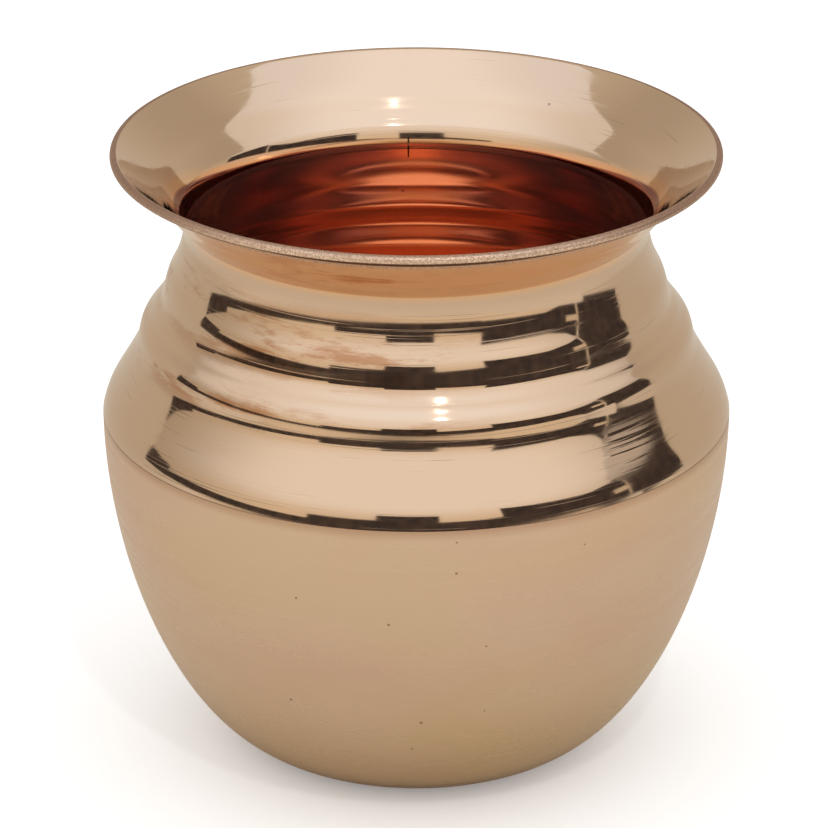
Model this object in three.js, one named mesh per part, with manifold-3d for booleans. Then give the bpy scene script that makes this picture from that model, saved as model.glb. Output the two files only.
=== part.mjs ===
// A copper lota: a small round-bellied water pot, about 110 mm across and 110 mm high.
// It is raised from sheet in two halves that meet at the belly, and a rolled strip makes the
// neck and the flared mouth, whose edge is curled round a wire.
// Millimetres, +Z up. The origin is the centre of the flat base, and the axis of the pot is Z.

import * as THREE from 'three';
import { mergeVertices } from 'three/addons/utils/BufferGeometryUtils.js';
import Module from 'manifold-3d';

const wasm = await Module();
wasm.setup();

// The sheet and the turning
const SHEET = 0.5;                 // thickness of the copper sheet everywhere
const SIDES = 60;                  // facets round the axis
const MITRE_LIMIT = 0.7;           // keeps a wall's thickness from growing past this at a corner

// The bowl, from the flat base to the belly joint
const BELLY_RADIUS = 55;           // outside, at the widest place
const BELLY_HEIGHT = 62;           // the joint of the two halves
const BASE_RADIUS = 24.4;          // the flat that the pot stands on
const BASE_REACH = 16.6;           // how far the base's level pull carries outwards
const SIDE_REACH = 29;             // how far the upright pull at the belly carries down

// The shoulder is turned in waves. It leans in on a slope, stands nearly upright at a step, leans in
// over it, and so on up to the collar. These are the places where it leans most and least.
const SLOPE_RADIUS = 50.2;
const SLOPE_HEIGHT = 71.5;
const LOW_STEP_RADIUS = 48.3;
const LOW_STEP_HEIGHT = 76.6;
const LOW_WAVE_RADIUS = 45.9;
const LOW_WAVE_HEIGHT = 80.5;
const HIGH_STEP_RADIUS = 44.15;
const HIGH_STEP_HEIGHT = 83.3;
const HIGH_WAVE_RADIUS = 42.7;
const HIGH_WAVE_HEIGHT = 87.8;
const BELLY_LEAN = THREE.MathUtils.degToRad(13.3);    // inwards from upright, over the belly joint
const LOW_STEP_LEAN = THREE.MathUtils.degToRad(12.4);
const HIGH_STEP_LEAN = THREE.MathUtils.degToRad(15);
const SLOPE_LEAN = THREE.MathUtils.degToRad(29);      // on the slope and over the high step
const WAVE_LEAN = THREE.MathUtils.degToRad(33);       // over the low step
const COLLAR_LEAN = THREE.MathUtils.degToRad(9);
const PULL = 0.36;                 // how far each place bends its neighbour, as a share of the way
const SLOPE_PULL = 0.54;
const LOW_STEP_PULL = 0.43;

// The neck and the flared mouth: upright at the throat, bent out to a nearly straight flare
const THROAT_RADIUS = 40.4;        // outside, at the narrowest place
const COLLAR_HEIGHT = 94.8;        // top edge of the shoulder
const BEND_RADIUS = 41.3;          // middle of the sheet where the throat's bend ends
const BEND_HEIGHT = 98.9;
const BEND_LEAN = THREE.MathUtils.degToRad(41.5);     // outwards from upright
const RIM_RADIUS = 52.8;           // outside of the curled rim
const RIM_HEIGHT = 109.9;          // top of the curled rim
const RIM_LEAN = THREE.MathUtils.degToRad(49.3);      // outwards from upright, where the rim's curl starts
const THROAT_PULL = 0.2;
const BEND_PULL = 0.48;
const RIM_PULL = 0.78;
const CURL_TURN = THREE.MathUtils.degToRad(275);      // how far the edge is rolled round the wire

// The wire in the rim, the lap at the belly, the butt joint at the neck and the brazing
const WIRE_RADIUS = 0.25;
const WIRE_CLEARANCE = 0.05;       // between the wire and the sheet that is rolled round it
const BELLY_LAP = 3;               // length of the lip inside the belly joint
const LAP_CLEARANCE = 0.15;        // between the lip and the wall round it
const EDGE_GAP = 0.1;              // between the edges that meet at a joint
const NECK_BRAZE = 0.3;            // height of the brazing between the shoulder's edge and the neck's
const FILLET = 1;                  // height and width of the brazing under the belly's lip
const FILLET_CLEARANCE = 0.15;     // between the brazing and the sheet
const SEAM_WIDTH = 0.5;            // brazing in the upright seam of the neck
const SEAM_CLEARANCE = 0.25;       // on each side of it
const SEAM_AZIMUTH = THREE.MathUtils.degToRad(2);     // the seam lies this far left of the back

// Steps along the curves
const BOWL_STEPS = 12;
const SHOULDER_STEPS = 4;          // between each two places of the shoulder
const THROAT_STEPS = 5;
const FLARE_STEPS = 6;
const CURL_STEPS = 9;
const WIRE_SIDES = 8;

const COPPER = { color: 0xc5a688, roughness: 0.28, metalness: 1 };
const POLISHED_COPPER = { color: 0xd9b48f, roughness: 0.12, metalness: 1 };
const DULL_COPPER = { color: 0x9c7566, roughness: 0.55, metalness: 1 };
const BRAZING = { color: 0xb98f5e, roughness: 0.4, metalness: 1 };

const point = (radius, height) => new THREE.Vector2(radius, height);

// The outside of the bowl, from the edge of the base to the belly
function bowlOutside() {
  const curve = new THREE.CubicBezierCurve(
    point(BASE_RADIUS, 0),
    point(BASE_RADIUS + BASE_REACH, 0),
    point(BELLY_RADIUS, BELLY_HEIGHT - SIDE_REACH),
    point(BELLY_RADIUS, BELLY_HEIGHT - EDGE_GAP / 2),
  );
  return curve.getPoints(BOWL_STEPS);
}

// A place that a curve passes through, leaning inwards from upright, and how far it pulls
const place = (radius, height, lean, pull) => ({ at: point(radius, height), lean, pull });

// A curve from one place up to the next, leaving and arriving along their leans
function between(start, end) {
  const reach = start.at.distanceTo(end.at);
  const along = ({ lean }) => point(-Math.sin(lean), Math.cos(lean));
  return new THREE.CubicBezierCurve(
    start.at,
    along(start).multiplyScalar(start.pull * reach).add(start.at),
    along(end).multiplyScalar(-end.pull * reach).add(end.at),
    end.at,
  );
}

// The outside of the shoulder, from the belly joint to the collar
function shoulderOutside() {
  const places = [
    place(BELLY_RADIUS, BELLY_HEIGHT + EDGE_GAP / 2, BELLY_LEAN, PULL),
    place(SLOPE_RADIUS, SLOPE_HEIGHT, SLOPE_LEAN, SLOPE_PULL),
    place(LOW_STEP_RADIUS, LOW_STEP_HEIGHT, LOW_STEP_LEAN, LOW_STEP_PULL),
    place(LOW_WAVE_RADIUS, LOW_WAVE_HEIGHT, WAVE_LEAN, PULL),
    place(HIGH_STEP_RADIUS, HIGH_STEP_HEIGHT, HIGH_STEP_LEAN, PULL),
    place(HIGH_WAVE_RADIUS, HIGH_WAVE_HEIGHT, SLOPE_LEAN, PULL),
    place(THROAT_RADIUS, COLLAR_HEIGHT, COLLAR_LEAN, PULL),
  ];
  const outline = [places[0].at];
  for (let i = 1; i < places.length; i += 1) {
    outline.push(...between(places[i - 1], places[i]).getPoints(SHOULDER_STEPS).slice(1));
  }
  return outline;
}

// The centre of the curled edge and the radius of the sheet's middle round it
const curlRadius = WIRE_RADIUS + WIRE_CLEARANCE + SHEET / 2;
const curlCentre = point(
  RIM_RADIUS - curlRadius - SHEET / 2,
  RIM_HEIGHT - curlRadius - SHEET / 2,
);

// A point of the curl, this far off the wire's middle, after the sheet has turned by an angle
function curlPoint(radius, turn) {
  const angle = RIM_LEAN + turn;
  return point(
    curlCentre.x - radius * Math.cos(angle),
    curlCentre.y + radius * Math.sin(angle),
  );
}

// The neck stands on the brazing over the shoulder's edge
const neckFoot = COLLAR_HEIGHT + NECK_BRAZE + 2 * EDGE_GAP;

// The middle of the neck's sheet: up from the joint, through the flare and round the wire
function neckMiddle() {
  const throat = place(THROAT_RADIUS - SHEET / 2, neckFoot, 0, THROAT_PULL);
  const bend = place(BEND_RADIUS, BEND_HEIGHT, -BEND_LEAN, THROAT_PULL);
  const flare = place(BEND_RADIUS, BEND_HEIGHT, -BEND_LEAN, BEND_PULL);
  const end = curlPoint(curlRadius, 0);
  const rim = place(end.x, end.y, -RIM_LEAN, RIM_PULL);
  const middle = between(throat, bend).getPoints(THROAT_STEPS);
  middle.push(...between(flare, rim).getPoints(FLARE_STEPS).slice(1));
  for (let i = 1; i <= CURL_STEPS; i += 1) {
    middle.push(curlPoint(curlRadius, (CURL_TURN * i) / CURL_STEPS));
  }
  return middle;
}

// A line moved sideways by a distance, to the left of the way that it runs
function sidestep(line, distance) {
  return line.map((here, i) => {
    const before = line[Math.max(i - 1, 0)];
    const after = line[Math.min(i + 1, line.length - 1)];
    const into = here.clone().sub(before).normalize();
    const out = after.clone().sub(here).normalize();
    const along = into.add(out).normalize();
    const edge = (i === 0 ? after.clone().sub(here) : here.clone().sub(before)).normalize();
    const widen = 1 / Math.max(along.dot(edge), MITRE_LIMIT);
    return point(here.x - along.y * distance * widen, here.y + along.x * distance * widen);
  });
}

// A closed outline turned round the axis, and stood upright
function turned(outline) {
  const geometry = new THREE.LatheGeometry([...outline, outline[0].clone()], SIDES);
  return geometry.rotateX(Math.PI / 2);
}

function bowlGeometry() {
  const outside = bowlOutside();
  const inside = sidestep(outside, SHEET).reverse();
  const floor = point(0, SHEET);
  const outline = [point(0, 0), ...outside, ...inside, floor];
  return new THREE.LatheGeometry(outline, SIDES).rotateX(Math.PI / 2);
}

// The lip that hangs inside the bowl's edge
const bellyLipRadius = BELLY_RADIUS - SHEET - LAP_CLEARANCE;
const bellyLipEnd = BELLY_HEIGHT - BELLY_LAP;

function shoulderGeometry() {
  const outside = shoulderOutside();
  const inside = sidestep(outside, SHEET).reverse();
  const foot = inside.pop();
  const outline = [
    ...outside,
    ...inside,
    point(bellyLipRadius - SHEET, foot.y),
    point(bellyLipRadius - SHEET, bellyLipEnd),
    point(bellyLipRadius, bellyLipEnd),
    point(bellyLipRadius, outside[0].y),
  ];
  return turned(outline);
}

function neckGeometry() {
  const middle = neckMiddle();
  const under = sidestep(middle, -SHEET / 2);
  const over = sidestep(middle, SHEET / 2).reverse();
  return turned([...under, ...over]);
}

function rimWireGeometry() {
  const outline = [];
  for (let i = 0; i < WIRE_SIDES; i += 1) {
    const angle = (2 * Math.PI * i) / WIRE_SIDES;
    outline.push(point(
      curlCentre.x + WIRE_RADIUS * Math.cos(angle),
      curlCentre.y + WIRE_RADIUS * Math.sin(angle),
    ));
  }
  return turned(outline);
}

// Where a line of points passes a height
function radiusAt(line, height) {
  for (let i = 1; i < line.length; i += 1) {
    const low = line[i - 1].y < line[i].y ? line[i - 1] : line[i];
    const high = low === line[i] ? line[i - 1] : line[i];
    if (low.y <= height && height <= high.y && high.y > low.y) {
      return THREE.MathUtils.mapLinear(height, low.y, high.y, low.x, high.x);
    }
  }
  return line[0].x;
}

// Brazing between the shoulder's edge and the neck's: a flat ring as thick as the sheet
function neckBrazeGeometry() {
  const low = COLLAR_HEIGHT + EDGE_GAP;
  const high = low + NECK_BRAZE;
  return turned([
    point(THROAT_RADIUS - SHEET, low),
    point(THROAT_RADIUS, low),
    point(THROAT_RADIUS, high),
    point(THROAT_RADIUS - SHEET, high),
  ]);
}

// Brazing run into the corner under the belly's lip: a ring with a three-cornered section
function filletGeometry() {
  const wall = sidestep(bowlOutside(), SHEET);
  const top = bellyLipEnd - FILLET_CLEARANCE;
  const wallTop = radiusAt(wall, top) - FILLET_CLEARANCE;
  const wallLow = radiusAt(wall, top - FILLET) - FILLET_CLEARANCE;
  return turned([
    point(wallLow, top - FILLET),
    point(wallTop, top),
    point(wallTop - FILLET, top),
  ]);
}

// A closed mesh as a solid that can be cut, and back
function solid(geometry) {
  const bare = geometry.clone();
  bare.deleteAttribute('normal');
  bare.deleteAttribute('uv');
  const merged = mergeVertices(bare, 1e-4);
  return new wasm.Manifold(new wasm.Mesh({
    numProp: 3,
    vertProperties: new Float32Array(merged.attributes.position.array),
    triVerts: new Uint32Array(merged.index.array),
  }));
}

function geometryOf(body) {
  const mesh = body.getMesh();
  const geometry = new THREE.BufferGeometry();
  geometry.setAttribute('position', new THREE.BufferAttribute(mesh.vertProperties, 3));
  geometry.setIndex(new THREE.BufferAttribute(mesh.triVerts, 1));
  geometry.computeVertexNormals();
  return geometry;
}

// An upright slab at the seam, from inside the throat to outside the rim
function seamSlab(width) {
  const inner = THROAT_RADIUS / 2;
  const outer = RIM_RADIUS + SHEET;
  const height = RIM_HEIGHT - neckFoot + 2 * SHEET;
  const slab = new THREE.BoxGeometry(width, outer - inner, height);
  slab.translate(0, (inner + outer) / 2, neckFoot - SHEET + height / 2);
  return solid(slab.rotateZ(SEAM_AZIMUTH));
}

function mesh(name, geometry, look) {
  const made = new THREE.Mesh(geometry, new THREE.MeshStandardMaterial(look));
  made.name = name;
  return made;
}

const neckRing = solid(neckGeometry());
const neck = neckRing.subtract(seamSlab(SEAM_WIDTH + 2 * SEAM_CLEARANCE));
const seam = neckRing.intersect(seamSlab(SEAM_WIDTH));

const lota = new THREE.Group();
lota.add(mesh('bowl', bowlGeometry(), COPPER));
lota.add(mesh('shoulder', shoulderGeometry(), POLISHED_COPPER));
lota.add(mesh('neck', geometryOf(neck), POLISHED_COPPER));
lota.add(mesh('rim_wire', rimWireGeometry(), DULL_COPPER));
lota.add(mesh('neck_seam_braze', geometryOf(seam), BRAZING));
lota.add(mesh('neck_joint_braze', neckBrazeGeometry(), BRAZING));
lota.add(mesh('belly_joint_braze', filletGeometry(), BRAZING));

export default lota;
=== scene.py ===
"""A copper lota: the looks of the water pot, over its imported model.

Metres, +Z up. The origin is the centre of the flat base, and the pot's axis is Z.
"""

import bmesh
import bpy
import numpy as np
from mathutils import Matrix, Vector


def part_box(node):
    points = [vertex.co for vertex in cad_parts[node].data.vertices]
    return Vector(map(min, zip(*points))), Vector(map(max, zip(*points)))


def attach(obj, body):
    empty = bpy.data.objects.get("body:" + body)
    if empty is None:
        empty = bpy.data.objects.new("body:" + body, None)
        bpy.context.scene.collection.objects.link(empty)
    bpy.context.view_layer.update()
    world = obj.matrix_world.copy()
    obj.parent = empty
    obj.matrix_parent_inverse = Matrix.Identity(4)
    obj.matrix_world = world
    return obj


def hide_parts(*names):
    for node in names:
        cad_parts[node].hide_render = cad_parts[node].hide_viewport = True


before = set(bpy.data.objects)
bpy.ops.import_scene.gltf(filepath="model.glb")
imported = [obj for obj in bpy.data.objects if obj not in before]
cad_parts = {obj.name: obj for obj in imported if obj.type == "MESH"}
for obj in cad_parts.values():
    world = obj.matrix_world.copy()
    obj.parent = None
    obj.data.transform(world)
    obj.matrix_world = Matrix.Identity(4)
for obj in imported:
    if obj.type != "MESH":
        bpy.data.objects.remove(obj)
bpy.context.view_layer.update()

MM = 0.001

# The sheet, and the grid that its surfaces are worked out on
SHEET = 0.5 * MM
AROUND = 288                          # steps round the axis
BASE_STEPS = 11                       # steps across the flat base
BOWL_STEPS = 110
WAVE_STEPS = 22                       # steps along each wave of the shoulder
INSIDE_STRIDE = 2                     # the inside takes every second step of the outside
THROAT_STEPS = 30
FLARE_STEPS = 50
CURL_STEPS = 44
WIRE_SIDES = 16
FILLET_STEPS = 8
SEAM_STEPS = 3
SHARP = np.radians(40)                # a corner that turns by more than this is left sharp
MERGED = 0.001 * MM                   # points on the axis that are closer than this are merged

# The bowl
BELLY_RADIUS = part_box("bowl")[1][0]
BELLY_HEIGHT = 62 * MM
BASE_RADIUS = 24.4 * MM
BASE_REACH = 16.6 * MM                # how far the base's level pull carries outwards
SIDE_REACH = 29 * MM                  # how far the upright pull at the belly carries down

# The shoulder: the places where it leans in most and least, each an outside radius and a height
SLOPE = (50.2 * MM, 71.5 * MM)
LOW_STEP = (48.3 * MM, 76.6 * MM)
LOW_WAVE = (45.9 * MM, 80.5 * MM)
HIGH_STEP = (44.15 * MM, 83.3 * MM)
HIGH_WAVE = (42.7 * MM, 87.8 * MM)
BELLY_LEAN = np.radians(13.3)         # inwards from upright, over the belly joint
LOW_STEP_LEAN = np.radians(12.4)
HIGH_STEP_LEAN = np.radians(15)
SLOPE_LEAN = np.radians(29)           # on the slope and over the high step
WAVE_LEAN = np.radians(33)            # over the low step
COLLAR_LEAN = np.radians(9)
PULL = 0.36                           # how far a place bends the curve, as a share of the way
SLOPE_PULL = 0.54
LOW_STEP_PULL = 0.43

# The neck: upright at the throat, bent out to a nearly straight flare, and curled round a wire
THROAT_RADIUS = 40.4 * MM
COLLAR_HEIGHT = 94.8 * MM
BEND = (41.3 * MM, 98.9 * MM)         # middle of the sheet where the throat's bend ends
BEND_LEAN = np.radians(41.5)          # outwards from upright
RIM_LEAN = np.radians(49.3)
THROAT_PULL = 0.2
BEND_PULL = 0.48
RIM_PULL = 0.78
RIM_RADIUS = 52.8 * MM
RIM_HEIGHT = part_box("neck")[1][2]
WIRE_RADIUS = 0.25 * MM
WIRE_CLEARANCE = 0.05 * MM
CURL_TURN = np.radians(275)
CURL_RADIUS = WIRE_RADIUS + WIRE_CLEARANCE + SHEET / 2
CURL_CENTRE = np.array([RIM_RADIUS, RIM_HEIGHT]) - CURL_RADIUS - SHEET / 2
POLISHED_CURL = np.radians(22)        # how far the flare's polish runs on over the curl
RIM_MARGIN = 5.4 * MM                 # unpolished strip of the flare's underside beside the rim
POLISH_FOOT = 95.9 * MM               # inside the throat the polish ends at this height,
POLISH_RISE = 4.4 * MM                # and this much higher at the two sides,
POLISH_SIDE = 42.3 * MM               # which are this far from the axis.
POLISH_POWER = 5.0                    # It rises by this power of the way there
POLISH_EDGE = (-0.2 * MM, 0.1 * MM)   # from the tarnish below its end to the polish above it
WARM_EDGE = 1.6 * MM                  # strip of warmer copper above the end of the polish

# The joints
EDGE_GAP = 0.1 * MM
BELLY_LAP = 3 * MM
LAP_CLEARANCE = 0.15 * MM
BELLY_LIP_RADIUS = BELLY_RADIUS - SHEET - LAP_CLEARANCE
BELLY_LIP_END = BELLY_HEIGHT - BELLY_LAP
NECK_BRAZE = 0.3 * MM
NECK_FOOT = COLLAR_HEIGHT + NECK_BRAZE + 2 * EDGE_GAP
JOINT_LINE = 0.005 * MM               # the fine line left beside the brazing
FILLET = 1 * MM
FILLET_HOLLOW = 0.3                   # how near its corner the hollow comes, as a share of its size
FILLET_CLEARANCE = 0.15 * MM
SEAM_WIDTH = 0.3 * MM
SEAM_HALF = SEAM_WIDTH / 2 / THROAT_RADIUS
SLIT_HALF = (SEAM_WIDTH / 2 + JOINT_LINE) / THROAT_RADIUS
SEAM_AZIMUTH = np.radians(92)         # from +X, so just left of the back
SEAM_DIP = 0.015 * MM                 # depth of the slight flat along the seam,
SEAM_FLAT = np.radians(1.2)           # and how far it reaches on each side

# Unevenness from the hand: how deep it goes, and the slow waves that it is made of, each its share,
# how many there are round the pot, where it starts, and how it turns with height, in radians a metre
UNEVEN = 0.05 * MM
HAND_WAVES = [
    (0.5, 2, 0.7, 0),
    (0.3, 3, 0.0, 90),
    (0.2, 7, 0.0, -210),
]

# Colours
POLISHED_COLOUR = (0.68, 0.505, 0.368)
WARM_COLOUR = (0.83, 0.53, 0.31)      # under the flare, where the wheel reached less
SATIN_COLOUR = (0.71, 0.53, 0.39)
ROSY = (0.66, 0.40, 0.29)
# golden tone of the patches, and the painted warm reflection of the floor towards the base
GOLDEN_TONE_AND_REFLECTION = (0.70, 0.53, 0.32)
STAIN = (0.46, 0.23, 0.12)
# brown: painted shade towards the base, and a browner strip under the belly joint
BROWN_AND_SHADE = (0.42, 0.22, 0.12)
TARNISH = (0.26, 0.15, 0.10)
# grime along the seam, and painted shade low on the curl
GRIME_AND_SHADE = (0.10, 0.04, 0.02)
INSIDE_COLOUR = (0.91, 0.47, 0.28)
# darker blotches, and painted shade at the inside's two sides
INSIDE_DARK_AND_SHADE = (0.48, 0.19, 0.16)
INSIDE_EDGE = (0.32, 0.13, 0.11)      # left on the throat's bend, at the two sides
RIM_BROWN = (0.42, 0.27, 0.19)        # the dark of the grain on top of the curl,
RIM_TAN = (0.60, 0.42, 0.32)          # and the light of it
RIM_MIDDLE = (0.58, 0.40, 0.29)       # the dark of the grain on the curl's side,
RIM_PALE = (0.90, 0.70, 0.54)         # and the light of it
# painted shade on the curl at the two sides of the pot
RIM_SIDE_SHADE = (0.34, 0.20, 0.15)         # at the two sides of the pot
BRASSY = (0.50, 0.33, 0.17)

# Places of the finishes, and of the painted shade and painted reflection. A pair is where a change
# begins and where it is full. A set of four gives how strong it is at each of them too.
WARMED = (96.6 * MM, 98.4 * MM)       # height at which the flare's underside turns warm
STAINED_LOW = (LOW_STEP[1], 4 * MM)   # stains beside a step: the middle, and the reach up and down
STAINED_HIGH = (HIGH_WAVE[1], 9 * MM)
STAINED = (20 * MM, -12 * MM)         # right of the axis, so they are strongest at the left
RUBBED = (69.5 * MM, 6.2 * MM)        # scratched patch: the middle, and the reach up and down
RUBBED_LEFT = (30.5 * MM, 33.5 * MM)  # its left end and its right end, right of the axis
RUBBED_RIGHT = (42 * MM, 36 * MM)
# painted warm reflection of the floor: golden towards the base
GOLDEN_REFLECTION_FOOT = (36 * MM, 0.0, 0.0, 0.8)
# painted shade: the next two darken the bowl towards the base, most in its last few millimetres
SHADED_FOOT = (26 * MM, 0.0, 0.0, 0.2)
SHADED_BASE = (5 * MM, 0.0, 0.0, 0.5)
BROWNED_EDGE = (BELLY_HEIGHT - 2.2 * MM, BELLY_HEIGHT, 0.0, 0.5)
# painted shade at the inside's two sides
INSIDE_SHADED_SIDES = (7 * MM, 32 * MM, 0.0, 0.9)
# painted shade on the curl at the two sides of the pot
RIM_SHADED_SIDES = (22 * MM, 46 * MM, 0.0, 0.65)
RIM_TOP = (RIM_HEIGHT - 0.6 * MM, RIM_HEIGHT - 0.15 * MM)
# painted shade low on the curl, under the bead
CURL_SHADE = (0.48, 0.70, 2.80, 3.20)  # from none to full and back, in curl radii below its centre
SEAM_STAIN = (93.3 * MM, 96.8 * MM)   # heights between which a dark line is left along the seam,
SEAM_STAIN_FADE = 0.5 * MM            # how softly it ends,
SEAM_STAIN_HALF = (0.1 * MM, 0.22 * MM, 1.0, 0.0)  # and how it fades beside the seam

# Patterns of the finishes. Each is noise with so many cells a metre round the pot and up it, and goes
# from its least to its most as the noise goes from low to high.
STAIN_BLOTCHES = dict(around=45, up=260, low=0.47, high=0.62, most=0.9, detail=5.0, roughness=0.7)
DARK_STREAKS = dict(around=45, up=2600, low=0.68, high=0.76, most=0.3, detail=2.0)
SCRATCHES = dict(around=50, up=2600, low=0.36, high=0.52, most=0.6, detail=2.0)
GROOVES = dict(around=16, up=3600, low=0.60, high=0.74, detail=2.0)
CLOUDS = dict(around=28, up=60, low=0.4, high=0.75, most=0.3)
ROSY_STREAKS = dict(around=16, up=3000, low=0.62, high=0.75, most=0.2, detail=2.0)
GOLDEN_PATCHES = dict(around=22, up=38, low=0.45, high=0.65, most=0.4, detail=1.0)
INSIDE_BLOTCHES = dict(around=30, up=90, low=0.45, high=0.75, most=0.3)
FELT_FOLDS = dict(around=12, up=3, low=0.35, high=0.7)

# Roughness over the metal, as patterns
POLISHED_GLOSS = dict(around=30, up=900, low=0.35, high=0.75, least=0.05, most=0.11)
SATIN_GLOSS = dict(around=20, up=700, low=0.3, high=0.75, least=0.26, most=0.38)
INSIDE_GLOSS = dict(around=26, up=500, low=0.35, high=0.75, least=0.10, most=0.20)

# Relief in the metal: cells a metre round the pot and up it, and the depth
RELIEF_DETAIL = 2.0
POLISHED_WAVES = (14, 420, 0.006 * MM)
SATIN_WAVES = (12, 300, 0.006 * MM)
SATIN_LINES = (14, 3200, 0.001 * MM)
INSIDE_WAVES = (14, 380, 0.006 * MM)
INSIDE_MARKS = (14, 1800, 0.0015 * MM)
GROOVE_DEPTH = 0.005 * MM

# The rim's grain and the brazing's lumps: cells a metre, the noise at the dark and at the light
# tone, the noise and the roughness at two ends, and the depth
GRAIN = 3600
GRAIN_TONES = (0.40, 0.62)
GRAIN_GLOSS = (0.3, 0.7, 0.55, 0.38)
GRAIN_DEPTH = 0.02 * MM
LUMPS = 900
LUMP_TONES = (0.35, 0.65)
LUMP_GLOSS = (0.3, 0.7, 0.3, 0.5)
LUMP_DEPTH = 0.04 * MM

INSIDE_METAL = 0.92                   # the rest of the inside is a thin dull film

# Pits, in degrees right of the front and millimetres. On the bowl each is its azimuth, height and
# radius, and elsewhere its distance from the axis comes before its height.
BOWL_PITS = [
    (-22, 47.5, 0.3),
    (-5, 44, 0.32),
    (7, 54, 0.3),
    (7, 59.8, 0.24),
    (1, 22.6, 0.38),
    (13, 39, 0.25),
    (-1, 16, 0.28),
    (14, 24.6, 0.24),
    (31, 56, 0.22),
    (-26.5, 25, 0.34),
]
INSIDE_PITS = [(183.3, 42.8, 85.4, 0.5), (184.2, 46.4, 78.9, 0.35)]
FLARE_PITS = [(148, 44.9, 104, 0.4), (162, 46.3, 105.6, 0.2)]
PIT_CORE = 0.5                        # share of its radius over which a pit is darkest
PIT_DARK = 0.8                        # and how dark it is there

# Where the photograph was taken from
CAMERA_DISTANCE = 0.8778
CAMERA_ELEVATION = np.radians(23.16)
CAMERA_AIM_HEIGHT = 59.7 * MM
CAMERA_SIDE = -0.4 * MM
LENS = 216.8                          # millimetres, on the sensor below
SENSOR = 36.0
NEAREST = 0.05                        # what is nearer to the camera than this isn't seen

# An oval lamp at the front, a little to the right
KEY_AZIMUTH = np.radians(13)
KEY_ELEVATION = np.radians(53)
KEY_DISTANCE = 5.0
KEY_WIDTH = 0.15
KEY_HEIGHT = 0.36
KEY_POWER = 17

# The floor, and the cloth on it that only reflections see
FLOOR_HALF = 4.0
FLOOR_DROP = 0.2 * MM
FLOOR_WHITE = (0.97, 0.97, 0.97)
FLOOR_LIFT = 0.2                      # light that the floor gives where it is looked at
CLOTH_DROP = 0.1 * MM
CLOTH_FRONT = (0.80, 0.74, 0.65)
CLOTH_BACK = (0.63, 0.57, 0.48)
CLOTH_SHADE = (-0.15, 0.25)           # it falls into shade between these distances behind the pot

# The room round the pot: a ball of two soft sheets that only reflections see. Each sheet is its name,
# its azimuths in degrees right of the front, and its colours low, half way and high.
ROOM_CENTRE = 80 * MM
ROOM_RADIUS = 1.7
ROOM_FOOT = -2.5                      # elevations of its foot and its top, in degrees
ROOM_TOP = 90
ROOM_ROWS = 30
FRONT_LIGHT = (
    "front_light", -110, 107,
    (0.91, 0.79, 0.62), (1.12, 1.10, 1.07), (1.24, 1.30, 1.40),
)
BACK_WALL = (
    "back_wall", 107, 250,
    (0.66, 0.59, 0.49), (0.57, 0.51, 0.43), (0.72, 0.67, 0.56),
)
LOW_TO_MIDDLE = (0.2 * ROOM_RADIUS, 0.6 * ROOM_RADIUS)     # heights
MIDDLE_TO_HIGH = (0.65 * ROOM_RADIUS, 0.92 * ROOM_RADIUS)
DIM = (np.radians(42), np.radians(112), 0.0, 0.4)          # share of the front light lost to the sides
LESS_DIM = (0.40 * ROOM_RADIUS, 0.60 * ROOM_RADIUS, 1.0, 0.4)  # less of that high up

# Dark cards before the front light: azimuths from and to, then the elevations of the foot and the
# top at the first azimuth, and of the foot and the top at the second
CARD_RADIUS = 1.6
CARDS = [
    (-110, -97, -6, 11, -5, 8),
    (-97, -38, -2.5, 4, 1, 6),
    (-38, -14, 1, 11, 1, 12),
    (-14, 8, 1, 19, 1, 19),
    (8, 30, 1, 10, 1, 11),
    (30, 62, 1.5, 23, 0, 17),
    (62, 73, 0, 17, -4, 19),
    (73, 79, -4, 4.5, -4, 4.5),
    (73, 79, 9.5, 19, 9.5, 22),
    (80, 84, -4, 24, -5, 25),
    (84, 106, -5, 25, -6, 21),
]
CARD_DARK = (0.05, 0.043, 0.042)
CARD_LIGHT = (0.09, 0.068, 0.06)

# A dark rug on the cloth, before the last card: azimuths, and distances from the pot
RUG = (84, 106, 0.85, 1.58)
RUG_POINTS = 12


def bezier(points, steps):
    """Points along a Bezier curve: the control points mixed by Bernstein's weights."""
    way = np.linspace(0.0, 1.0, steps + 1)[:, None]
    rest = 1.0 - way
    a, b, c = (np.array(point) for point in points[:3])
    if len(points) == 3:
        return rest**2 * a + 2 * rest * way * b + way**2 * c
    d = np.array(points[3])
    return rest**3 * a + 3 * rest**2 * way * b + 3 * rest * way**2 * c + way**3 * d


def sidestep(line, distance):
    """A line moved to the left of the way it runs: each point goes along the turned tangent."""
    along = np.gradient(line, axis=0)
    along /= np.linalg.norm(along, axis=1)[:, None]
    return line + distance * np.stack([-along[:, 1], along[:, 0]], axis=1)


def wave(start, end, steps):
    """A curve from one place up to the next, where a place is its point, its lean inwards from
    upright and its pull: the curve leaves and arrives along the leans."""
    (first, lean, pull), (last, end_lean, end_pull) = start, end
    first, last = np.array(first), np.array(last)
    reach = np.linalg.norm(last - first)
    leave = first + pull * reach * np.array([-np.sin(lean), np.cos(lean)])
    arrive = last - end_pull * reach * np.array([-np.sin(end_lean), np.cos(end_lean)])
    return bezier([first, leave, arrive, last], steps)


def bowl_outside():
    """The bowl's outline, from the edge of the base to the belly: a Bezier curve that leaves level
    and arrives upright."""
    points = [
        (BASE_RADIUS, 0.0),
        (BASE_RADIUS + BASE_REACH, 0.0),
        (BELLY_RADIUS, BELLY_HEIGHT - SIDE_REACH),
        (BELLY_RADIUS, BELLY_HEIGHT - EDGE_GAP / 2),
    ]
    return bezier(points, BOWL_STEPS)


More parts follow.
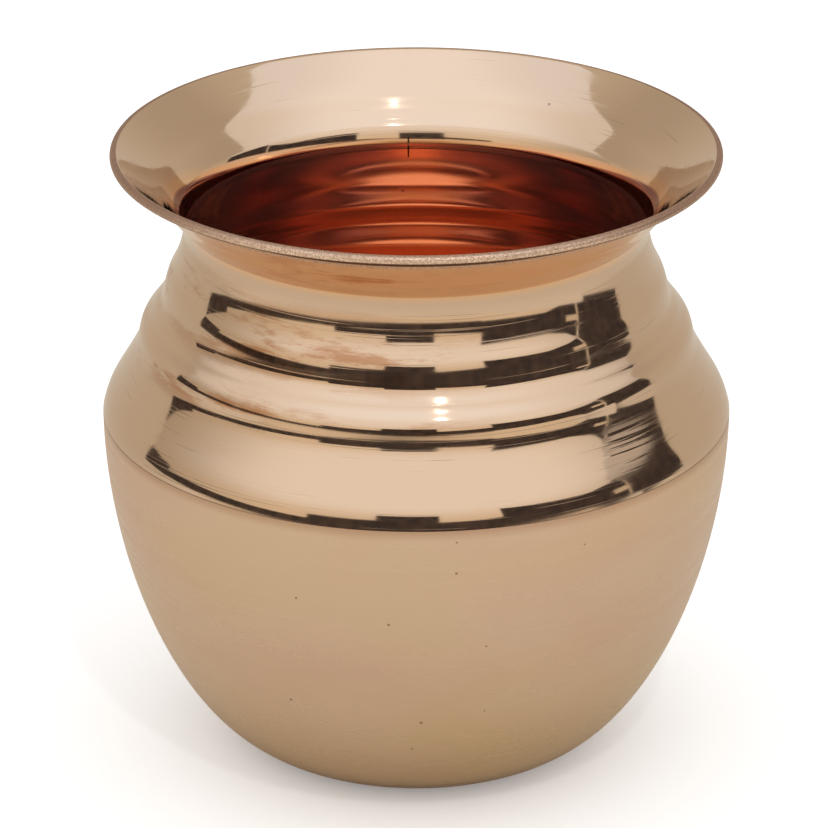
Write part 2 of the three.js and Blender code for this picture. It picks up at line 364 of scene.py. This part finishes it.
def shoulder_outside():
    """The shoulder's outline: waves through the places where it leans in most and least."""
    places = [
        ((BELLY_RADIUS, BELLY_HEIGHT + EDGE_GAP / 2), BELLY_LEAN, PULL),
        (SLOPE, SLOPE_LEAN, SLOPE_PULL),
        (LOW_STEP, LOW_STEP_LEAN, LOW_STEP_PULL),
        (LOW_WAVE, WAVE_LEAN, PULL),
        (HIGH_STEP, HIGH_STEP_LEAN, PULL),
        (HIGH_WAVE, SLOPE_LEAN, PULL),
        ((THROAT_RADIUS, COLLAR_HEIGHT), COLLAR_LEAN, PULL),
    ]
    waves = [wave(start, end, WAVE_STEPS) for start, end in zip(places, places[1:])]
    return np.vstack([waves[0][:1]] + [line[1:] for line in waves])


def curl(turn):
    """The middle of the sheet round the wire: a circle about the curl's centre, at these angles of
    turn from the flare's end."""
    angle = RIM_LEAN + np.atleast_1d(turn)
    return CURL_CENTRE + CURL_RADIUS * np.stack([-np.cos(angle), np.sin(angle)], axis=1)


def flare_middle():
    """The middle of the neck's sheet, from its foot to the start of the curl: two waves that meet
    where the throat's bend ends."""
    foot = ((THROAT_RADIUS - SHEET / 2, NECK_FOOT), 0.0, THROAT_PULL)
    throat = wave(foot, (BEND, -BEND_LEAN, THROAT_PULL), THROAT_STEPS)
    flare = wave((BEND, -BEND_LEAN, BEND_PULL), (curl(0.0)[0], -RIM_LEAN, RIM_PULL), FLARE_STEPS)
    return np.vstack([throat, flare[1:]])


def close_poles(mesh):
    """Merges the points that fall together on the axis."""
    shell = bmesh.new()
    shell.from_mesh(mesh)
    bmesh.ops.remove_doubles(shell, verts=shell.verts, dist=MERGED)
    shell.to_mesh(mesh)
    shell.free()


def lathe(name, runs, start=0.0, sweep=2 * np.pi, steps=AROUND):
    """A piece turned about the axis and then worked by hand: each point (r, z) of the outline goes
    round to (r cos a, r sin a, z). runs are stretches of the closed outline, each with its own
    finish, and a sweep under a full turn gets a flat cap at each end."""
    outline = np.vstack([line for line, _ in runs])
    finishes = list(dict.fromkeys(finish for _, finish in runs))
    look = np.concatenate([np.full(len(line), finishes.index(finish)) for line, finish in runs])
    whole = sweep >= 2 * np.pi
    rings = steps if whole else steps + 1
    angle = start + sweep * np.arange(rings) / steps
    radius = np.repeat(outline[:, 0][:, None], rings, axis=1)
    height = np.repeat(outline[:, 1][:, None], rings, axis=1)
    radius = hand_worked(radius, height, angle[None, :])
    points = np.stack([radius * np.cos(angle), radius * np.sin(angle), height], axis=2)

    count = len(outline)
    i, j = np.meshgrid(np.arange(count), np.arange(steps), indexing="ij")
    i_next, j_next = (i + 1) % count, (j + 1) % rings
    corners = [i * rings + j, i * rings + j_next, i_next * rings + j_next, i_next * rings + j]
    faces = np.stack(corners, axis=2).reshape(-1, 4)
    look = np.repeat(look, steps)
    on_axis = np.repeat((outline[:, 0] == 0.0) & (np.roll(outline[:, 0], -1) == 0.0), steps)
    faces, look = faces[~on_axis], look[~on_axis]

    mesh = bpy.data.meshes.new(name)
    polygons = faces.tolist()
    if not whole:
        polygons.append((np.arange(count)[::-1] * rings).tolist())
        polygons.append((np.arange(count) * rings + rings - 1).tolist())
        look = np.append(look, [0, 0])
    mesh.from_pydata(points.reshape(-1, 3), [], polygons)
    mesh.polygons.foreach_set("material_index", look.astype(np.int32))
    mesh.polygons.foreach_set("use_smooth", np.ones(len(polygons), dtype=bool))
    for finish in finishes:
        mesh.materials.append(finish)
    mesh.update()
    mesh.set_sharp_from_angle(angle=SHARP)
    if np.any(outline[:, 0] == 0.0):
        close_poles(mesh)
    piece = bpy.data.objects.new(name, mesh)
    bpy.context.scene.collection.objects.link(piece)
    return piece


def hand_worked(radius, height, angle):
    """The radius with small unevenness from raising and polishing: slow waves round the pot, always
    inwards, which are sines of the angle and the height, and a slight flat where the neck's seam
    was brazed, which is a bell curve of the angle."""
    waves = sum(
        share * np.sin(count * angle + start + turning * height)
        for share, count, start, turning in HAND_WAVES
    )
    radius = radius - np.where(radius > 0, UNEVEN * (1 + waves) / 2, 0.0)
    from_seam = np.angle(np.exp(1j * (angle - SEAM_AZIMUTH)))
    seam = np.exp(-(from_seam / SEAM_FLAT) ** 2) * np.clip((height - NECK_FOOT) / SHEET, 0, 1)
    return radius - SEAM_DIP * seam


def new_material(name, metallic=1.0):
    """A material, its node tree and its Principled shader."""
    material = bpy.data.materials.new(name)
    material.use_nodes = True
    tree = material.node_tree
    shader = tree.nodes["Principled BSDF"]
    shader.inputs["Metallic"].default_value = metallic
    return material, tree, shader


def node(tree, kind, values=None, **settings):
    """A node of this kind, with its settings and its inputs: a value is set, a socket is linked."""
    made = tree.nodes.new(kind)
    for key, value in settings.items():
        setattr(made, key, value)
    for key, value in (values or {}).items():
        if isinstance(value, bpy.types.NodeSocket):
            tree.links.new(value, made.inputs[key])
        else:
            made.inputs[key].default_value = value
    return made


def math(tree, operation, first, second=0.0, clamp=False):
    """A sum, product or the like of two values."""
    values = {0: first, 1: second}
    return node(tree, "ShaderNodeMath", values, operation=operation, use_clamp=clamp).outputs[0]


def product(tree, value, *others):
    """Several values multiplied."""
    for other in others:
        value = math(tree, "MULTIPLY", value, other)
    return value


def place(tree):
    """The point on the pot, in metres."""
    return node(tree, "ShaderNodeTexCoord").outputs["Object"]


def axes(tree):
    """That point's X, Y and Z: X is right of the axis as the photo sees it, and Z is the height."""
    return node(tree, "ShaderNodeSeparateXYZ", {0: place(tree)}).outputs


def aside(tree):
    """How far the point lies left or right of the axis."""
    return math(tree, "ABSOLUTE", axes(tree)["X"])


def noise(tree, around, up, detail=3.0, roughness=0.55):
    """Noise with this many cells a metre round the pot and up it: drawn out round the axis where
    there are many more up than round, as brush lines and turning marks are."""
    values = {0: place(tree), 1: (around, around, up)}
    stretched = node(tree, "ShaderNodeVectorMath", values, operation="MULTIPLY")
    texture = node(tree, "ShaderNodeTexNoise", {
        "Vector": stretched.outputs[0], "Scale": 1.0, "Detail": detail, "Roughness": roughness,
    })
    return texture.outputs["Fac"]


def between(tree, value, low, high, to_low=0.0, to_high=1.0):
    """A value moved smoothly from one range to another, and held at the ends."""
    return node(tree, "ShaderNodeMapRange", {
        "Value": value, "From Min": low, "From Max": high, "To Min": to_low, "To Max": to_high,
    }, interpolation_type="SMOOTHSTEP").outputs[0]


def pattern(tree, around, up, low, high, least=0.0, most=1.0, **fineness):
    """A pattern of noise: its least where the noise is low, and its most where it is high."""
    return between(tree, noise(tree, around, up, **fineness), low, high, least, most)


def blended(tree, amount, first, second):
    """Two colours mixed by an amount."""
    mix = node(tree, "ShaderNodeMix", data_type="RGBA")
    tree.links.new(amount, mix.inputs["Factor"])
    for key, colour in (("A", first), ("B", second)):
        socket = next(s for s in mix.inputs if s.name == key and s.type == "RGBA")
        if isinstance(colour, bpy.types.NodeSocket):
            tree.links.new(colour, socket)
        else:
            socket.default_value = (*colour, 1.0)
    return next(s for s in mix.outputs if s.type == "RGBA")


def band(tree, height, half_width):
    """1 at a height on the pot, falling to 0 this far above and below it."""
    off = math(tree, "ABSOLUTE", math(tree, "SUBTRACT", axes(tree)["Z"], height))
    return between(tree, off, 0.0, half_width, 1.0, 0.0)


def relief(tree, around, up, depth):
    """A layer of relief: noise, and its depth in metres."""
    return noise(tree, around, up, RELIEF_DETAIL), depth


def bumps(tree, *layers):
    """A normal with several layers of relief, each a height from 0 to 1 and its depth in metres."""
    normal = None
    for height, depth in layers:
        values = {"Height": height, "Distance": depth, "Strength": 1.0}
        if normal:
            values["Normal"] = normal
        normal = node(tree, "ShaderNodeBump", values).outputs["Normal"]
    return normal


def dress(tree, shader, colour, roughness, normal):
    """Gives a shader its colour, its roughness and its relief."""
    tree.links.new(colour, shader.inputs["Base Color"])
    tree.links.new(roughness, shader.inputs["Roughness"])
    tree.links.new(normal, shader.inputs["Normal"])


def pits(tree, places):
    """The dark of each pit and 0 outside, from the distance to its middle. A pit is its degrees
    right of the front, its distance from the axis, its height and its radius, in millimetres."""
    found = 0.0
    for degrees, radius, height, size in places:
        turn = np.radians(degrees)
        middle = (radius * np.sin(turn) * MM, -radius * np.cos(turn) * MM, height * MM)
        off = node(tree, "ShaderNodeVectorMath", {0: place(tree), 1: middle}, operation="DISTANCE")
        reach = size * MM
        spot = between(tree, off.outputs["Value"], PIT_CORE * reach, reach, PIT_DARK, 0.0)
        found = math(tree, "MAXIMUM", found, spot)
    return found


def on_bowl(degrees, height, size):
    """A pit on the outside of the bowl, with its distance from the axis."""
    wall = bowl_outside()
    radius = np.interp(height * MM, wall[:, 1], wall[:, 0]) / MM
    return degrees, radius, height, size


def along_seam(tree, colour):
    """The dark line left inside, along the foot of the neck's seam and a little below it."""
    point = axes(tree)
    low, high = SEAM_STAIN
    off = math(tree, "SUBTRACT", point["X"], THROAT_RADIUS * np.cos(SEAM_AZIMUTH))
    stain = product(
        tree,
        between(tree, math(tree, "ABSOLUTE", off), *SEAM_STAIN_HALF),
        math(tree, "GREATER_THAN", point["Y"], 0.0),
        between(tree, point["Z"], low - SEAM_STAIN_FADE, low),
        between(tree, point["Z"], high, high + SEAM_STAIN_FADE, 1.0, 0.0),
    )
    return blended(tree, stain, colour, GRIME_AND_SHADE)


def left_in_throat(tree, polished):
    """The throat's bend: the polish ends on it, higher towards the two sides. Just above its end the
    copper is warmer, and below it the inside's tarnish is left."""
    height = axes(tree)["Z"]
    sides = math(tree, "POWER", math(tree, "DIVIDE", aside(tree), POLISH_SIDE), POLISH_POWER)
    end = math(tree, "ADD", product(tree, sides, POLISH_RISE), POLISH_FOOT)
    above = math(tree, "SUBTRACT", height, end)
    in_throat = math(tree, "GREATER_THAN", height, NECK_FOOT)
    warm = product(tree, in_throat, between(tree, above, 0.0, WARM_EDGE, 1.0, 0.0))
    tarnished = product(tree, in_throat, between(tree, above, *POLISH_EDGE, 1.0, 0.0))
    colour = blended(tree, tarnished, blended(tree, warm, polished, WARM_COLOUR), INSIDE_EDGE)
    return blended(tree, in_throat, polished, along_seam(tree, colour))


def stained(tree):
    """How far the shoulder is stained: in blotches beside the steps, mostly at the left."""
    beside = math(tree, "ADD", band(tree, *STAINED_LOW), band(tree, *STAINED_HIGH), clamp=True)
    return product(tree, beside, between(tree, axes(tree)["X"], *STAINED), pattern(tree, **STAIN_BLOTCHES))


def rubbed(tree):
    """The roughness that a patch of scratches adds, at the right of the slope."""
    right = axes(tree)["X"]
    return product(
        tree,
        band(tree, *RUBBED),
        between(tree, right, *RUBBED_LEFT),
        between(tree, right, *RUBBED_RIGHT),
        pattern(tree, **SCRATCHES),
    )


def polished_copper(name, bare, throat):
    """Buffed copper: nearly a mirror, with sparse turning grooves, brown stains beside the steps and
    a scratched patch. Over the throat the bare metal takes the colour that is given, and where the
    inside of the throat belongs to the surface, the end of its polish is on it."""
    material, tree, shader = new_material(name)
    bare = blended(tree, between(tree, axes(tree)["Z"], *WARMED), POLISHED_COLOUR, bare)
    colour = blended(tree, stained(tree), bare, STAIN)
    colour = blended(tree, pattern(tree, **DARK_STREAKS), colour, TARNISH)
    colour = blended(tree, pits(tree, FLARE_PITS), colour, TARNISH)
    if throat:
        colour = left_in_throat(tree, colour)
    rough = math(tree, "ADD", pattern(tree, **POLISHED_GLOSS), rubbed(tree))
    grooves = (pattern(tree, **GROOVES), GROOVE_DEPTH)
    dress(tree, shader, colour, rough, bumps(tree, relief(tree, *POLISHED_WAVES), grooves))
    return material


def satin_copper():
    """Brushed copper: fine lines round the pot, soft gloss, rosy clouds and golden patches, and small
    pits. Towards the base it has a painted golden reflection and painted shade, and it browns a little
    in the last strip under the belly joint."""
    material, tree, shader = new_material("satin_copper")
    height = axes(tree)["Z"]
    colour = blended(tree, pattern(tree, **CLOUDS), SATIN_COLOUR, ROSY)
    colour = blended(tree, pattern(tree, **ROSY_STREAKS), colour, ROSY)
    # A painted warm reflection of the floor towards the base, over the golden patches.
    foot = between(tree, height, *GOLDEN_REFLECTION_FOOT)
    golden_patches_and_reflection = math(tree, "ADD", pattern(tree, **GOLDEN_PATCHES), foot, clamp=True)
    colour = blended(tree, golden_patches_and_reflection, colour, GOLDEN_TONE_AND_REFLECTION)
    # Painted shade towards the base, and a browner strip under the belly joint.
    for darkened in (SHADED_FOOT, SHADED_BASE, BROWNED_EDGE):
        colour = blended(tree, between(tree, height, *darkened), colour, BROWN_AND_SHADE)
    colour = blended(tree, pits(tree, [on_bowl(*pit) for pit in BOWL_PITS]), colour, TARNISH)
    normal = bumps(tree, relief(tree, *SATIN_WAVES), relief(tree, *SATIN_LINES))
    dress(tree, shader, colour, pattern(tree, **SATIN_GLOSS), normal)
    return material


def inside_copper():
    """The unpolished inside: redder copper with turning marks, under a thin dull film, with painted
    shade towards the two sides."""
    material, tree, shader = new_material("inside_copper", INSIDE_METAL)
    # Painted shade at the inside's two sides, added to the darker blotches.
    sides = between(tree, aside(tree), *INSIDE_SHADED_SIDES)
    dark = math(tree, "ADD", pattern(tree, **INSIDE_BLOTCHES), sides, clamp=True)
    colour = blended(tree, dark, INSIDE_COLOUR, INSIDE_DARK_AND_SHADE)
    colour = blended(tree, pits(tree, INSIDE_PITS), colour, TARNISH)
    normal = bumps(tree, relief(tree, *INSIDE_WAVES), relief(tree, *INSIDE_MARKS))
    dress(tree, shader, along_seam(tree, colour), pattern(tree, **INSIDE_GLOSS), normal)
    return material


def rim_copper():
    """The curled edge as rolled: dull, finely stippled, with painted shade at the two sides of the pot
    and painted shade low on the curl, under the bead."""
    material, tree, shader = new_material("rim_copper")
    grain = noise(tree, GRAIN, GRAIN, RELIEF_DETAIL)
    height = axes(tree)["Z"]
    top = between(tree, height, *RIM_TOP)
    dark = blended(tree, top, RIM_MIDDLE, RIM_BROWN)
    light = blended(tree, top, RIM_PALE, RIM_TAN)
    colour = blended(tree, between(tree, grain, *GRAIN_TONES), dark, light)
    # Painted shade on the curl at the two sides of the pot.
    colour = blended(tree, between(tree, aside(tree), *RIM_SHADED_SIDES), colour, RIM_SIDE_SHADE)
    # Painted shade low on the curl, under the bead.
    high, full_high, full_low, low = CURL_CENTRE[1] - np.array(CURL_SHADE) * (CURL_RADIUS + SHEET / 2)
    curl_shade = product(tree, between(tree, height, high, full_high), between(tree, height, low, full_low))
    colour = blended(tree, curl_shade, colour, GRIME_AND_SHADE)
    dress(tree, shader, colour, between(tree, grain, *GRAIN_GLOSS), bumps(tree, (grain, GRAIN_DEPTH)))
    return material


def brazing():
    """Brazing metal: duller and yellower than the copper, and lumpy."""
    material, tree, shader = new_material("brazing")
    lumps = noise(tree, LUMPS, LUMPS)
    colour = blended(tree, between(tree, lumps, *LUMP_TONES), BRASSY, TARNISH)
    dress(tree, shader, colour, between(tree, lumps, *LUMP_GLOSS), bumps(tree, (lumps, LUMP_DEPTH)))
    return material


POLISHED = polished_copper("polished_copper", POLISHED_COLOUR, throat=True)
WARM = polished_copper("warm_copper", WARM_COLOUR, throat=False)
SATIN = satin_copper()
INSIDE = inside_copper()
RIM = rim_copper()
BRAZING = brazing()


def standing(piece, slot, *nodes):
    """The piece stands for these nodes of the model, which are hidden. slot is not used."""
    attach(piece, "root")
    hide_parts(*nodes)


def through(*points):
    """An outline through these points."""
    return np.array(points)


def make_bowl():
    """The bowl: the outside up, the inside down, and both closed on the axis."""
    outside = bowl_outside()
    inside = sidestep(outside, SHEET)[::-INSIDE_STRIDE]
    base = np.linspace(0.0, BASE_RADIUS, BASE_STEPS + 1)[:-1]
    under = np.stack([base, np.zeros(BASE_STEPS)], axis=1)
    floor = np.stack([base[::-1], np.full(BASE_STEPS, SHEET)], axis=1)
    return lathe("bowl_wall", [(under, SATIN), (outside, SATIN), (inside, INSIDE), (floor, INSIDE)])


def make_shoulder():
    """The shoulder: the outside up to the collar, the inside down, and the lip in the belly joint."""
    outside = shoulder_outside()
    inside = sidestep(outside, SHEET)[::-INSIDE_STRIDE]
    lip = through(
        (BELLY_LIP_RADIUS - SHEET, inside[-1][1]),
        (BELLY_LIP_RADIUS - SHEET, BELLY_LIP_END),
        (BELLY_LIP_RADIUS, BELLY_LIP_END),
        (BELLY_LIP_RADIUS, outside[0][1]),
    )
    return lathe("shoulder_wall", [(outside, POLISHED), (inside[:-1], INSIDE), (lip, INSIDE)])


def neck_runs():
    """The neck's closed outline: the outside of the flare, the curled rim and the inside."""
    flare = flare_middle()
    turns = np.linspace(0.0, CURL_TURN, CURL_STEPS + 1)[1:]
    middle = np.vstack([flare, curl(turns)])
    under = sidestep(middle, -SHEET / 2)
    over = sidestep(middle, SHEET / 2)
    rim = len(flare) + int(np.sum(turns < POLISHED_CURL))
    margin = int(np.sum(np.linalg.norm(flare - flare[-1], axis=1) > RIM_MARGIN))
    foot = int(np.sum(over[:rim, 1] < POLISH_FOOT))
    return [
        (under[:margin], WARM),
        (under[margin:], RIM),
        (over[rim:][::-1], RIM),
        (over[foot:rim][::-1], POLISHED),
        (over[:foot][::-1], INSIDE),
    ]


def make_neck():
    """The neck, a strip that goes round to a slit at the seam."""
    return lathe("neck_wall", neck_runs(), SEAM_AZIMUTH + SLIT_HALF, 2 * np.pi - 2 * SLIT_HALF)


def make_seam():
    """The brazing in the slit, with the strip's own outline. It is polished with the flare."""
    runs = [(points, BRAZING if finish == INSIDE else finish) for points, finish in neck_runs()]
    return lathe("neck_seam", runs, SEAM_AZIMUTH - SEAM_HALF, 2 * SEAM_HALF, SEAM_STEPS)


def make_neck_braze():
    """The flat ring of brazing between the shoulder's edge and the neck's, polished outside."""
    low = COLLAR_HEIGHT + JOINT_LINE
    high = NECK_FOOT - JOINT_LINE
    outside = through((THROAT_RADIUS, low), (THROAT_RADIUS, high))
    inside = through((THROAT_RADIUS - SHEET, high), (THROAT_RADIUS - SHEET, low))
    return lathe("neck_braze", [(outside, POLISHED), (inside, INSIDE)])


def make_wire():
    """The wire in the rim: a circle carried round the axis."""
    turn = np.linspace(0.0, 2 * np.pi, WIRE_SIDES + 1)[:-1]
    section = CURL_CENTRE + WIRE_RADIUS * np.stack([np.cos(turn), np.sin(turn)], axis=1)
    return lathe("wire_ring", [(section, RIM)])


def make_fillet():
    """Brazing in the corner under the belly's lip: a ring with a three-cornered, slightly hollow
    section."""
    wall = sidestep(bowl_outside(), SHEET)
    top = BELLY_LIP_END - FILLET_CLEARANCE
    foot = top - FILLET
    high, low = np.interp([top, foot], wall[:, 1], wall[:, 0]) - FILLET_CLEARANCE
    middle = (high - FILLET_HOLLOW * FILLET, top - FILLET_HOLLOW * FILLET)
    hollow = bezier([(high - FILLET, top), middle, (low, foot)], FILLET_STEPS)
    return lathe("belly_braze", [(hollow, BRAZING), (through((high, top)), BRAZING)])


standing(make_bowl(), "satin_copper", "bowl")
standing(make_shoulder(), "polished_copper", "shoulder")
standing(make_neck(), "polished_copper", "neck")
standing(make_seam(), "brazing", "neck_seam_braze")
standing(make_wire(), "dull_copper", "rim_wire")
standing(make_neck_braze(), "brazing", "neck_joint_braze")
standing(make_fillet(), "brazing", "belly_joint_braze")


def stage_sheet(name, points, material, camera=True):
    """A flat or curved sheet of the stage, from a grid of points. Without the camera, only
    reflections see it."""
    rows, columns = points.shape[:2]
    i, j = np.meshgrid(np.arange(rows - 1), np.arange(columns - 1), indexing="ij")
    corner = i * columns + j
    corners = [corner, corner + 1, corner + columns + 1, corner + columns]
    faces = np.stack(corners, axis=2).reshape(-1, 4)
    mesh = bpy.data.meshes.new(name)
    mesh.from_pydata(points.reshape(-1, 3), [], faces.tolist())
    mesh.materials.append(material)
    sheet = bpy.data.objects.new(name, mesh)
    bpy.context.scene.collection.objects.link(sheet)
    sheet.visible_camera = camera
    sheet.visible_diffuse = camera
    sheet.visible_shadow = camera


def part_of_room(radius, left, right, left_foot, left_top, right_foot, right_top):
    """A grid of points on a ball round the pot, a step a degree across. The foot and the top are
    elevations, and run evenly from the left ones to the right ones. Azimuth and elevation give
    (r cos e sin a, -r cos e cos a, r sin e)."""
    across = np.linspace(0.0, 1.0, 2 + int(right - left))[None, :]
    up = np.linspace(0.0, 1.0, ROOM_ROWS)[:, None]
    foot = left_foot + (right_foot - left_foot) * across
    top = left_top + (right_top - left_top) * across
    elevation = np.radians(foot + (top - foot) * up)
    azimuth = np.radians(left + (right - left) * across)
    flat = radius * np.cos(elevation)
    height = ROOM_CENTRE + radius * np.sin(elevation)
    return np.stack([flat * np.sin(azimuth), -flat * np.cos(azimuth), height], axis=2)


def part_of_floor(left, right, near, far):
    """A grid of points just over the cloth, between two azimuths and two distances from the pot:
    (r sin a, -r cos a) at one height."""
    azimuth = np.radians(np.linspace(left, right, RUG_POINTS))[None, :]
    flat = np.array([near, far])[:, None]
    height = np.full((2, RUG_POINTS), -CLOTH_DROP / 2)
    return np.stack([flat * np.sin(azimuth), -flat * np.cos(azimuth), height], axis=2)


def matt(name, colour):
    """A paint or cloth without any gloss."""
    material, tree, shader = new_material(name, 0.0)
    shader.inputs["Base Color"].default_value = (*colour, 1.0)
    shader.inputs["Roughness"].default_value = 1.0
    shader.inputs["Specular IOR Level"].default_value = 0.0
    return material, tree, shader


def dimmed(tree):
    """What is left of the front light: less towards its two sides, most of all low down."""
    point = axes(tree)
    azimuth = math(tree, "ARCTAN2", point["X"], math(tree, "MULTIPLY", point["Y"], -1.0))
    lost = between(tree, math(tree, "ABSOLUTE", azimuth), *DIM)
    lost = product(tree, lost, between(tree, point["Z"], *LESS_DIM))
    return math(tree, "SUBTRACT", 1.0, lost)


def glowing(name, low, middle, high, dims):
    """A soft light whose colour changes from low to half way and on to high, and that may be dimmer
    at its two sides."""
    material, tree, shader = new_material(name, 0.0)
    height = axes(tree)["Z"]
    colour = blended(tree, between(tree, height, *LOW_TO_MIDDLE), low, middle)
    colour = blended(tree, between(tree, height, *MIDDLE_TO_HIGH), colour, high)
    strength = dimmed(tree) if dims else 1.0
    glow = node(tree, "ShaderNodeEmission", {"Color": colour, "Strength": strength})
    tree.links.new(glow.outputs[0], tree.nodes["Material Output"].inputs["Surface"])
    return material


def level_sheet(name, drop, material, camera=True):
    """A level square sheet under the pot."""
    side = np.array([-FLOOR_HALF, FLOOR_HALF])
    x, y = np.meshgrid(side, side, indexing="ij")
    stage_sheet(name, np.stack([x, y, np.full_like(x, -drop)], axis=2), material, camera)


def make_floor():
    """A white floor, lifted a little where it is looked at, so that only the pot's shadow shows.
    Reflections see a cream cloth on it, in shade behind the pot."""
    paint, tree, shader = matt("floor_paint", FLOOR_WHITE)
    ray = node(tree, "ShaderNodeLightPath").outputs
    seen = math(tree, "ADD", ray["Is Camera Ray"], ray["Is Glossy Ray"])
    seen = math(tree, "ADD", seen, ray["Is Transmission Ray"], clamp=True)
    shader.inputs["Emission Color"].default_value = (1.0, 1.0, 1.0, 1.0)
    tree.links.new(math(tree, "MULTIPLY", seen, FLOOR_LIFT), shader.inputs["Emission Strength"])
    level_sheet("floor", FLOOR_DROP, paint)
    cloth, tree, shader = matt("cream_cloth", CLOTH_FRONT)
    shade = between(tree, axes(tree)["Y"], *CLOTH_SHADE)
    tree.links.new(blended(tree, shade, CLOTH_FRONT, CLOTH_BACK), shader.inputs["Base Color"])
    level_sheet("cloth", CLOTH_DROP, cloth, camera=False)


def make_room():
    """Round the pot, the soft light, the wall, the dark cards and the rug that only reflections see."""
    for sheet, dims in ((FRONT_LIGHT, True), (BACK_WALL, False)):
        name, left, right, *colours = sheet
        points = part_of_room(ROOM_RADIUS, left, right, ROOM_FOOT, ROOM_TOP, ROOM_FOOT, ROOM_TOP)
        stage_sheet(name, points, glowing(name, *colours, dims), camera=False)
    felt, tree, shader = matt("dark_felt", CARD_DARK)
    folds = pattern(tree, **FELT_FOLDS)
    tree.links.new(blended(tree, folds, CARD_DARK, CARD_LIGHT), shader.inputs["Base Color"])
    for index, card in enumerate(CARDS):
        stage_sheet(f"card_{index}", part_of_room(CARD_RADIUS, *card), felt, camera=False)
    stage_sheet("rug", part_of_floor(*RUG), felt, camera=False)


def make_world():
    """Plain white light from all round."""
    world = bpy.data.worlds.new("studio")
    world.use_nodes = True
    bpy.context.scene.world = world
    world.node_tree.nodes["Background"].inputs["Color"].default_value = (1.0, 1.0, 1.0, 1.0)
    world.node_tree.nodes["Background"].inputs["Strength"].default_value = 1.0


def pointed(made, position, aim):
    """An object moved to a position and turned to look at a point."""
    made.location = position
    made.rotation_euler = (Vector(aim) - Vector(position)).to_track_quat("-Z", "Y").to_euler()
    bpy.context.scene.collection.objects.link(made)


def make_key_light():
    """The oval lamp whose image is the bright spot on each bulge of the metal."""
    lamp = bpy.data.lights.new("key", "AREA")
    lamp.shape = "ELLIPSE"
    lamp.size = KEY_WIDTH
    lamp.size_y = KEY_HEIGHT
    lamp.energy = KEY_POWER
    flat = np.cos(KEY_ELEVATION)
    way = np.array([np.sin(KEY_AZIMUTH) * flat, -np.cos(KEY_AZIMUTH) * flat, np.sin(KEY_ELEVATION)])
    pointed(bpy.data.objects.new("key", lamp), KEY_DISTANCE * way, (0.0, 0.0, CAMERA_AIM_HEIGHT))


def make_camera():
    """The camera, at the photograph's angle and distance."""
    camera = bpy.data.cameras.new("camera")
    camera.lens = LENS
    camera.sensor_width = SENSOR
    camera.clip_start = NEAREST
    aim = np.array([CAMERA_SIDE, 0.0, CAMERA_AIM_HEIGHT])
    back = np.array([0.0, -np.cos(CAMERA_ELEVATION), np.sin(CAMERA_ELEVATION)])
    made = bpy.data.objects.new("camera", camera)
    pointed(made, aim + CAMERA_DISTANCE * back, aim)
    bpy.context.scene.camera = made


make_floor()
make_room()
make_world()
make_key_light()
make_camera()
bpy.context.scene.view_settings.view_transform = "Standard"
